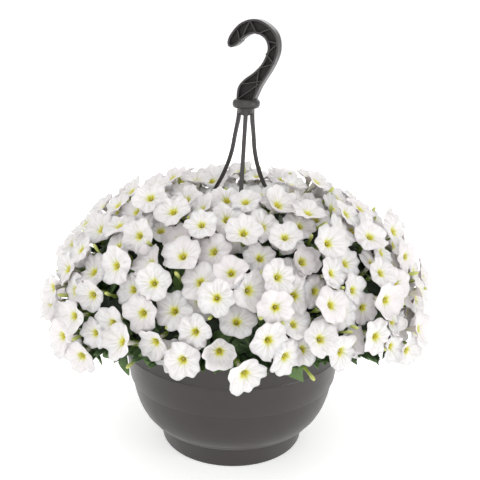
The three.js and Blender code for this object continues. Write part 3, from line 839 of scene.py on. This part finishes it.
def throats(name):
    """The bottom of every throat in a bunch's solid: a hollow corner where ten facets meet. For
    each, its place, which way the bloom faces, a direction across it and how wide it is."""
    solid = bmesh.new()
    solid.from_mesh(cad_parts[name].data)
    bmesh.ops.remove_doubles(solid, verts=solid.verts, dist=SOLID_WELD * MM)
    found = []
    for corner in solid.verts:
        facets = []
        for face in corner.link_faces:
            if all(face.normal.dot(other) < SAME_FACET for other in facets):
                facets.append(face.normal.copy())
        if len(facets) < LEAST_FACETS:
            continue
        facing = sum(facets, Vector()).normalized()
        rays = [edge.other_vert(corner).co - corner.co for edge in corner.link_edges]
        rises = [ray.normalized().dot(facing) for ray in rays]
        if min(rises) < THROAT_RISES[0] or max(rises) > THROAT_RISES[1]:
            continue
        across = rays[rises.index(min(rises))]
        across = (across - facing * across.dot(facing)).normalized()
        reach = max((ray - facing * ray.dot(facing)).length for ray in rays)
        found.append((corner.co.copy(), facing, across, reach / (SOLID_RADIUS * MM)))
    solid.free()
    return sorted(found, key=lambda throat: (round(throat[0].z, 3), throat[0].x))


def faced(facing, side):
    """A turn that lays Z along a direction, and X along another across it."""
    return Matrix((side, facing.cross(side), facing)).transposed()


def own_way(index, channels):
    """A repeatable direction of each bloom's own."""
    return Vector([spread(index, channel) for channel in channels])


def bloom_seats(name):
    """Where each bloom of a bunch stands: on its solid, leaning its own way and to the light."""
    seats = []
    for order, (throat, facing, across, reach) in enumerate(throats(name)):
        draw = BUNCH_DRAWS * int(name[-2:]) + order
        at_the_side = smoothstep(abs(facing.x), *SIDEWAYS) * smoothstep(facing.y, *NOT_BACKWARDS)
        on_the_top = smoothstep(facing.z, *UPWARDS) * smoothstep(facing.y, *BACKWARDS)
        to_light = LIGHT_SIDE * max(LIGHT_LEAN * at_the_side, TOP_LEAN * on_the_top)
        leaning = (facing + to_light + own_way(draw, (91, 92, 93)) * OWN_LEAN).normalized()
        centre = throat + facing * THROAT_DEPTH * MM
        by_the_arms = smoothstep(throat.xy.length, ARMS_ROOM * MM, ARMS_ROOM * MM / 2)
        centre.z -= ARMS_SINK * by_the_arms * MM
        size = reach * BLOOM_SHARE * (1 + BLOOM_SHARE_SPREAD * spread(draw, 59))
        size = min(BLOOM_LARGEST, max(BLOOM_SMALLEST, size))
        high = smoothstep(throat.z, LOW_HEIGHTS[0] * MM, LOW_HEIGHTS[1] * MM)
        seats.append({
            "bunch": name,
            "centre": centre,
            "facing": leaning,
            "turn": facing.rotation_difference(leaning).to_matrix() @ faced(facing, across),
            "size": size * mixed(LOW_SHARE, 1, high),
        })
    return seats


def over_and_aside(spot, seat):
    """How high a place is over a bloom's face, and how far it is from the bloom's axis."""
    away = spot - seat["centre"]
    height = away.dot(seat["facing"])
    return height, (away - seat["facing"] * height).length


# Deeper blooms, in the gaps between the others
UNDER_SITES = 900
UNDER_DEPTH = 9
UNDER_DEPTH_SPREAD = 3
UNDER_DEPTH_STEP = 3
UNDER_DEEPEST = 6
UNDER_DEEPEST_TOP = 9
UNDER_SPACING = 33
UNDER_ROOM = 20
UNDER_REACH = 31
UNDER_STEP = 3
UNDER_LEAN = 0.4
UNDER_TOP = (0.75, 0.4)
UNDER_SMALLEST = 0.84
UNDER_SIZE_SPREAD = 0.1
TUBE_ROOM = 11
LOOSE_EDGE = 0.85
LOOSE_RIGHT_END = 0.35
LOOSE_SHARE = 0.95
LOOSE_TOP = 0.05


def roomy(spot, seats):
    """Whether a place is beside the throats and tubes of the other blooms, under their faces."""
    for seat in seats:
        away = (spot - seat["centre"]).length
        height, from_tube = over_and_aside(spot, seat)
        if away < UNDER_ROOM * MM:
            return False
        if away < UNDER_REACH * MM and height > -UNDER_STEP * MM:
            return False
        if away < 2 * UNDER_REACH * MM and from_tube < TUBE_ROOM * MM:
            return False
    return True


def in_the_gaps(seats):
    """More blooms, of those that lie deeper, wherever the seats of the others leave a gap."""
    under = []
    for i, azimuth, theta in mound_sites(UNDER_SITES):
        open_side = theta > LOOSE_EDGE and math.sin(azimuth) < LOOSE_RIGHT_END
        if chance(i, 68) < (LOOSE_SHARE if open_side else LOOSE_TOP):
            continue
        depth = UNDER_DEPTH + UNDER_DEPTH_SPREAD * spread(i, 58)
        deepest = UNDER_DEEPEST_TOP if theta < LOOSE_EDGE else UNDER_DEEPEST
        deeper = range(0, deepest + 1, UNDER_DEPTH_STEP)
        places = [mound_point(azimuth, theta, depth + more) for more in deeper]
        spot = next((place for place in places if roomy(place, seats)), None)
        if spot is None:
            continue
        if any((other["centre"] - spot).length < UNDER_SPACING * MM for other in under):
            continue
        at_the_side = LIGHT_LEAN * smoothstep(outward(azimuth).y, *NOT_BACKWARDS)
        on_the_top = TOP_LEAN * smoothstep(theta, *UNDER_TOP)
        leans = own_way(i, (63, 64, 65)) * UNDER_LEAN
        to_light = LIGHT_SIDE * max(at_the_side, on_the_top)
        facing = (mound_normal(azimuth, theta) + leans + to_light).normalized()
        turn = faced(facing, facing.orthogonal().normalized())
        nearest = min(seats, key=lambda seat: (seat["centre"] - spot).length)
        under.append({
            "bunch": nearest["bunch"],
            "centre": spot,
            "facing": facing,
            "turn": turn @ Matrix.Rotation(math.tau * chance(i, 66), 3, "Z"),
            "size": UNDER_SMALLEST + UNDER_SIZE_SPREAD * chance(i, 67),
        })
    return under


# Petals: five lobes, waved and curled
LIMB_STARTS = 0.3
LOBE_NOTCH = 0.165
LOBE_ROUNDNESS = 2.6
LOBE_TIP = 0.03
LOBE_TIP_SHARPNESS = 9
RIM_WAVES = [(0.02, 8, 57)]
RIPPLES = [(0.7, 7, 51), (0.6, 11, 52)]
SWAYS = [(1.9, 1, 53), (1.9, 2, 54), (1.2, 3, 55)]
HALF_OPEN_FROM = 0.8
HALF_OPEN_CURL = 6
HALF_OPEN_NARROWER = 0.16
CURL = 0.8
CURL_SPREAD = 3.4
LOBE_CROWN = 0.8
LOBE_PLEAT = 0.7


def bloom_limb():
    """A bloom before its lobes are shaped: a tube that flares to a flat round limb."""
    limb = spun(BLOOM_FRONT + BLOOM_BACK, BLOOM_STEPS)
    petal_faces = len(limb.faces)
    bmesh.ops.create_icosphere(
        limb, subdivisions=1, radius=STAMEN_RADIUS * MM,
        matrix=Matrix.Translation(Vector(STAMEN_SPOT) * MM),
    )
    limb.faces.ensure_lookup_table()
    for face in limb.faces[petal_faces:]:
        face.material_index = 1
    return mesh_of("bloom_limb", limb)


def own_waves(around, index, parts):
    """Waves that start at a place of the bloom's own. Each is given as [height, count, draw]."""
    return waves(around, [
        (height, count, math.tau * chance(index, channel)) for height, count, channel in parts
    ])


def lobed(spot, index):
    """Shapes a point of the round limb into five lobes. Each bloom waves and curls its own way."""
    reach = math.hypot(spot.x, spot.y) / (BLOOM_RADIUS * MM)
    limb = smoothstep(reach, LIMB_STARTS, 1)
    if limb == 0:
        return spot.copy()
    around = math.atan2(spot.y, spot.x)
    lobe = (1 + math.cos(PETALS * around)) / 2
    notch = LOBE_NOTCH * (1 - lobe) ** LOBE_ROUNDNESS
    tip = LOBE_TIP * lobe**LOBE_TIP_SHARPNESS
    trim = 1 - limb * (notch + tip + own_waves(around, index, RIM_WAVES))
    half_open = smoothstep(chance(index, 60), HALF_OPEN_FROM, 1)
    trim *= 1 - HALF_OPEN_NARROWER * half_open * limb
    curl = CURL + CURL_SPREAD * spread(index, 56) + HALF_OPEN_CURL * half_open
    pleat = LOBE_CROWN * lobe - LOBE_PLEAT * math.cos(2 * PETALS * around)
    wavy = own_waves(around, index, RIPPLES) + own_waves(around, index, SWAYS)
    height = limb * (pleat + limb * (wavy + curl * limb))
    return Vector((spot.x * trim, spot.y * trim, spot.z + height * MM))


# Neighbours: their petals lie over and under each other
NEIGHBOUR_NEAR = 2.2
NEIGHBOUR_REACH = 1.02
NEIGHBOUR_RIM = 0.85
NEIGHBOUR_DEPTH = 9
NEIGHBOUR_GAP = 2.2
NEIGHBOUR_LIMB = (0.35, 0.9)
THROAT_ROOM = 8
THROAT_EDGES = (0.45, 0.15)


def beside(spot, seat, neighbours, limb):
    """Where petals of neighbours meet, the higher bloom's lie over the lower one's."""
    for other in neighbours:
        height, aside = over_and_aside(spot, other)
        reach = aside / (BLOOM_RADIUS * MM * other["size"])
        if abs(height) > NEIGHBOUR_DEPTH * MM or reach > NEIGHBOUR_REACH:
            continue
        over = (seat["centre"] - other["centre"]).dot(other["facing"]) > 0
        under_throat = THROAT_ROOM * smoothstep(reach, *THROAT_EDGES)
        wanted = (NEIGHBOUR_GAP if over else -NEIGHBOUR_GAP - under_throat) * MM
        if (height < wanted) if over else (height > wanted):
            share = limb * smoothstep(reach, NEIGHBOUR_REACH, NEIGHBOUR_RIM)
            share *= smoothstep(abs(height), NEIGHBOUR_DEPTH * MM, NEIGHBOUR_DEPTH * MM / 2)
            spot = spot + other["facing"] * (wanted - height) * share
    return spot


def directions(tree, operation, *terms):
    """One step of arithmetic with directions that change over the surface."""
    return node(tree, "VectorMath", dict(enumerate(terms)), operation=operation).outputs


def petal_finish():
    """Veins run out from a yellow-green throat, and the backs and older blooms are duller."""
    finish, tree, shader = blank_finish("petunia_petal_white")
    parts = {"Vector": noted(tree, "petal")["Vector"]}
    x, y, back = node(tree, "SeparateXYZ", parts).outputs
    flat = node(tree, "CombineXYZ", {"X": x, "Y": y}).outputs[0]
    reach = directions(tree, "LENGTH", flat)["Value"]
    ray = directions(tree, "NORMALIZE", flat)["Vector"]
    spoke = directions(tree, "MULTIPLY", ray, (2.6, 2.6, 2.6))["Vector"]
    drift = node(tree, "CombineXYZ", {"Z": reach}).outputs[0]
    track = directions(tree, "ADD", spoke, drift)["Vector"]
    streaks = noise(tree, track, 2.2, detail=3)
    angle = maths(tree, "ARCTAN2", y, x)
    lobes = maths(tree, "COSINE", maths(tree, "MULTIPLY", angle, PETALS))
    veins = rising(tree, streaks, 0.52, 0.7)
    folds = rising(tree, lobes, -0.965, -1, top=0.8)
    lines = maths(tree, "MAXIMUM", veins, folds)
    fading = rising(tree, reach, 0.95, 0.15, top=0.9)
    mark = maths(tree, "MULTIPLY", lines, fading)
    star = maths(tree, "MULTIPLY_ADD", lobes, -0.025, reach)
    feather = maths(tree, "MULTIPLY_ADD", streaks, -0.12, star)
    side = maths(tree, "MULTIPLY_ADD", back, 0.16, feather)
    body = ramp(tree, side, [
        (0.0, (0.42, 0.37, 0.008)), (0.06, (0.57, 0.52, 0.010)), (0.10, (0.64, 0.60, 0.02)),
        (0.145, (0.64, 0.63, 0.19)), (0.2, (0.67, 0.67, 0.52)), (0.35, (0.695, 0.675, 0.672)),
    ])
    # Lilac-grey rays along the streaks: painted shade on the white petals.
    rays = rising(tree, streaks, 0.4, 0.62, top=0.42)
    lilac_painted_shade = mixed_colour(tree, rays, body, (0.60, 0.575, 0.615, 1), blend="MULTIPLY")
    veined = mixed_colour(tree, mark, lilac_painted_shade, (0.50, 0.51, 0.36, 1))
    outer = rising(tree, side, 0.18, 0.38)
    faded = maths(tree, "MULTIPLY", noted(tree, "age")["Fac"], outer)
    feed(shader, {
        "Base Color": mixed_colour(tree, faded, veined, (0.68, 0.62, 0.63, 1)),
        "Normal": bumped(tree, streaks, strength=0.35, distance=MM),
        "Roughness": 0.6,
        "Subsurface Weight": 0.7,
        "Subsurface Radius": (1, 0.94, 0.9),
        "Subsurface Scale": 4 * MM,
    })
    return finish


# Stamens: a grainy pale yellow
stamen_yellow, stamen_tree, stamen_shader = blank_finish("petunia_stamen_pale_yellow")
stamen_pollen = noise(stamen_tree, object_place(stamen_tree), 900)
feed(stamen_shader, {
    "Base Color": ramp(
        stamen_tree, stamen_pollen, [(0.35, (0.55, 0.5, 0.16)), (0.65, (0.86, 0.84, 0.6))],
    ),
    "Roughness": 0.8,
})
petal_white = petal_finish()

# Bunches: every bloom has an age of its own, and its backs look older
AGE = 0.06
AGE_SPREAD = 0.12
OLD_FROM = 0.82
OLD_BY = 0.6
BACK_OLDER = 0.5
BACK_DOWNWARD = -0.2
TUBE_OUTWARD = 0.3
PETAL_CREASE = math.radians(75)

limb_mesh = bloom_limb()
limb_backs = []
for v in limb_mesh.vertices:
    ray = Vector((v.co.x, v.co.y, 0)).normalized()
    limb_backs.append(int(v.normal.z < BACK_DOWNWARD or v.normal.dot(ray) > TUBE_OUTWARD))
bunches = [name for name in sorted(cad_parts) if name.startswith("blooms")]
blooms = [seat for name in bunches for seat in bloom_seats(name)]
blooms += in_the_gaps(blooms)
for index, seat in enumerate(blooms):
    old = max(0, chance(index, 62) - OLD_FROM) / (1 - OLD_FROM)
    seat["index"] = index
    seat["age"] = AGE + AGE_SPREAD * chance(index, 61) + OLD_BY * old
near = NEIGHBOUR_NEAR * BLOOM_RADIUS * MM
for name in bunches:
    bunch = bmesh.new()
    petal_layer = bunch.verts.layers.float_vector.new("petal")
    age_layer = bunch.verts.layers.float.new("age")
    for seat in [seat for seat in blooms if seat["bunch"] == name]:
        neighbours = [
            other for other in blooms
            if other is not seat and (other["centre"] - seat["centre"]).length < near
        ]
        for v, back in zip(added(bunch, limb_mesh), limb_backs):
            flat = Vector((v.co.x, v.co.y)) / (BLOOM_RADIUS * MM)
            v[petal_layer] = (flat.x, flat.y, back)
            v[age_layer] = min(1, seat["age"] + BACK_OLDER * back)
            spot = seat["centre"] + seat["turn"] @ (lobed(v.co, seat["index"]) * seat["size"])
            v.co = beside(spot, seat, neighbours, smoothstep(flat.length, *NEIGHBOUR_LIMB))
    piece_name = name.replace("blooms", "bloom_bunch")
    piece = piece_of(piece_name, bunch, petal_white, stamen_yellow, crease=PETAL_CREASE)
    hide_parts(name)

# Calyxes, stalks and buds
# Each bloom's tube sits in a green calyx of five narrow sepals on a thin stalk from the plant.
# Long furled buds, yellow-green and pale at the tip, stand up between the blooms.
CALYX_STEPS = 10
CALYX_PROFILE = [
    (0, -48), (0.9, -47.5), (0.9, -32), (1.6, -28.5), (2.7, -25), (3, -22),
    (2.3, -22.2), (1.9, -24.5), (0, -25),
]
CALYX_RIM = -23
SEPAL_LENGTH = 6
SEPAL_SPREAD = 1.15
SEPAL_GAP_DIP = 2
SEPAL_GAP_SPREAD = 0.95
CALYX_TONE = 0.25
CALYX_TONE_SPREAD = 0.3
STALK_DARKER = 0.15
SEPAL_PALER = 0.2

sap_green, sap_tree, sap_shader = blank_finish("petunia_sap_green")
sap_mottle = noise(sap_tree, object_place(sap_tree), 240, detail=3)
sap_depth = maths(sap_tree, "MULTIPLY_ADD", sap_mottle, 0.2, noted(sap_tree, "sap")["Fac"])
feed(sap_shader, {
    "Base Color": ramp(sap_tree, sap_depth, [
        (0.1, (0.030, 0.070, 0.014)), (0.45, (0.10, 0.19, 0.025)),
        (0.75, (0.26, 0.34, 0.045)), (1.0, (0.48, 0.52, 0.15)),
    ]),
    "Normal": bumped(sap_tree, sap_mottle, strength=0.3, distance=0.4 * MM),
    "Roughness": 0.5,
})


def calyx_mesh():
    """A stalk and a cup whose rim is drawn out, at every other corner, into a narrow sepal."""
    calyx = spun(CALYX_PROFILE, CALYX_STEPS)
    for v in calyx.verts:
        if v.co.z > CALYX_RIM * MM:
            corner = round(math.atan2(v.co.y, v.co.x) / math.tau * CALYX_STEPS)
            sepal = corner % 2 == 0
            rise = SEPAL_LENGTH if sepal else -SEPAL_GAP_DIP
            widen = SEPAL_SPREAD if sepal else SEPAL_GAP_SPREAD
            v.co = (v.co.x * widen, v.co.y * widen, v.co.z + rise * MM)
    return mesh_of("calyx", calyx)


def add_green(mesh, spot, turn, size, sap_from, sap_to):
    """Sets a calyx or a bud in its plant, and notes how it pales from its foot to its tip."""
    heights = [v.co.z for v in mesh.vertices]
    low, high = min(heights), max(heights)
    shape = green_shapes[plant_of(spot)]
    fresh = added(shape, mesh)
    layer = shape.verts.layers.float["sap"]
    for v in fresh:
        v[layer] = mixed(sap_from, sap_to, (v.co.z - low) / (high - low))
        v.co = spot + turn @ (v.co * size)


# Buds: each stands where its length is clear of the blooms
BUD_SITES = 170
BUD_TRIES = 14
TRY_DRAWS = 1000
BUD_STEPS = 8
BUD_PROFILE = [
    (0, -30), (0.9, -29.5), (0.95, -8), (2.1, -4), (2.6, 0), (2.0, 1),
    (1.7, 6), (2.1, 14), (2.5, 20), (1.7, 24), (0, 25.5),
]
BUD_HEIGHTS = (2, 8, 14, 20, 26)
BUD_CLEARANCE = 18.2
BUD_UNDER = 9
BUD_OVER = 12
BUD_ASIDE = 0.16
BUD_UP_OR_DOWN = 0.12
BUD_NARROWEST_RING = 0.3
BUD_LEAN = 0.45
BUD_LESS_UPWARD = 0.3
BUD_INSET = 17
BUD_INSET_SPREAD = 4
BUD_SMALLEST = 0.75
BUD_SIZE_SPREAD = 0.25


def clear_of_blooms(spot):
    """Whether a place is in a gap between the limbs of the blooms."""
    for seat in blooms:
        height, aside = over_and_aside(spot, seat)
        level = -BUD_UNDER * MM < height < BUD_OVER * MM
        if level and aside < BUD_CLEARANCE * MM * seat["size"]:
            return False
    return True


calyx = calyx_mesh()
bud = mesh_of("bud", spun(BUD_PROFILE, BUD_STEPS))
green_shapes = [bmesh.new() for plant in range(PLANTS)]
for shape in green_shapes:
    shape.verts.layers.float.new("sap")
for seat in blooms:
    tone = CALYX_TONE + CALYX_TONE_SPREAD * chance(seat["index"], 71)
    add_green(
        calyx, seat["centre"], seat["turn"], seat["size"], tone - STALK_DARKER, tone + SEPAL_PALER,
    )
for i, azimuth, theta in mound_sites(BUD_SITES):
    for attempt in range(BUD_TRIES):
        draw = i + TRY_DRAWS * attempt
        ring = max(BUD_NARROWEST_RING, math.sin(theta))
        around = azimuth + BUD_ASIDE * spread(draw, 81) / ring
        lower = theta + BUD_UP_OR_DOWN * spread(draw, 82)
        leans = own_way(draw, (83, 84, 85))
        leans.z *= BUD_LESS_UPWARD
        facing = (mound_normal(around, lower) + leans * BUD_LEAN).normalized()
        foot = mound_point(around, lower, BUD_INSET + BUD_INSET_SPREAD * spread(draw, 86))
        if all(clear_of_blooms(foot + facing * up * MM) for up in BUD_HEIGHTS):
            turn = faced(facing, facing.orthogonal().normalized())
            size = BUD_SMALLEST + BUD_SIZE_SPREAD * chance(draw, 87)
            add_green(bud, foot, turn, size, 0.0, 1.0)
            break
for plant, shape in enumerate(green_shapes):
    greens = piece_of(f"calyxes_and_buds_{plant + 1:02}", shape, sap_green)
    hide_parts(f"foliage_{plant + 1:02}")

# Floor and light
# A plain pale floor that the pot stands on, and the soft light of a white studio.
# The floor is clear from below, so that the underside of the pot can be looked at.
FLOOR_METRES = 600
FLOOR_GLOW = 0.42
ROOM_LIGHT = 0.70
WHITE = (1, 1, 1, 1)
MIDDLE = (0, 0, 0.22)

floor_shape = bmesh.new()
bmesh.ops.create_grid(floor_shape, x_segments=1, y_segments=1, size=FLOOR_METRES / 2)
floor = in_scene("studio_floor", mesh_of("studio_floor", floor_shape))
floor_pale, floor_tree, floor_shader = blank_finish("studio_floor_pale")
feed(floor_shader, {
    "Base Color": (0.93, 0.93, 0.93, 1),
    "Roughness": 0.9,
    "Emission Color": WHITE,
    "Emission Strength": FLOOR_GLOW,
})
floor_mix = node(floor_tree, "MixShader", {
    0: node(floor_tree, "NewGeometry").outputs["Backfacing"],
    1: floor_shader.outputs["BSDF"],
    2: node(floor_tree, "BsdfTransparent").outputs["BSDF"],
})
feed(floor_tree.nodes["Material Output"], {"Surface": floor_mix.outputs["Shader"]})
floor.data.materials.append(floor_pale)


def soft_light(name, spot, size, power):
    """A large square light that shines from a place towards the middle of the basket."""
    lamp = bpy.data.lights.new(name, "AREA")
    lamp.size = size
    lamp.energy = power
    light = in_scene(name, lamp)
    light.location = spot
    light.rotation_euler = (Vector(MIDDLE) - Vector(spot)).to_track_quat("-Z", "Y").to_euler()


soft_light("front", (-0.35, -2.1, 1.2), size=2.2, power=18.5)
soft_light("side_left", (-2.0, -0.4, 0.8), size=1.6, power=6.5)
soft_light("side_right", (1.7, -1.0, 0.6), size=0.6, power=10)
soft_light("top", (0.1, -0.2, 2.4), size=1.8, power=14)
soft_light("back", (0.2, 2.1, 1.1), size=1.8, power=20)

# Room: the camera sees a white wall, and the basket gets the room's softer light
room = bpy.data.worlds.new("white_studio")
room.use_nodes = True
room_tree = room.node_tree
room_light = room_tree.nodes["Background"]
feed(room_light, {"Color": WHITE, "Strength": ROOM_LIGHT})
white_wall = node(room_tree, "Background", {"Color": WHITE, "Strength": 1})
room_mix = node(room_tree, "MixShader", {
    0: node(room_tree, "LightPath").outputs["Is Camera Ray"],
    1: room_light.outputs["Background"],
    2: white_wall.outputs["Background"],
})
feed(room_tree.nodes["World Output"], {"Surface": room_mix.outputs["Shader"]})
bpy.context.scene.world = room
bpy.context.scene.view_settings.view_transform = "Standard"
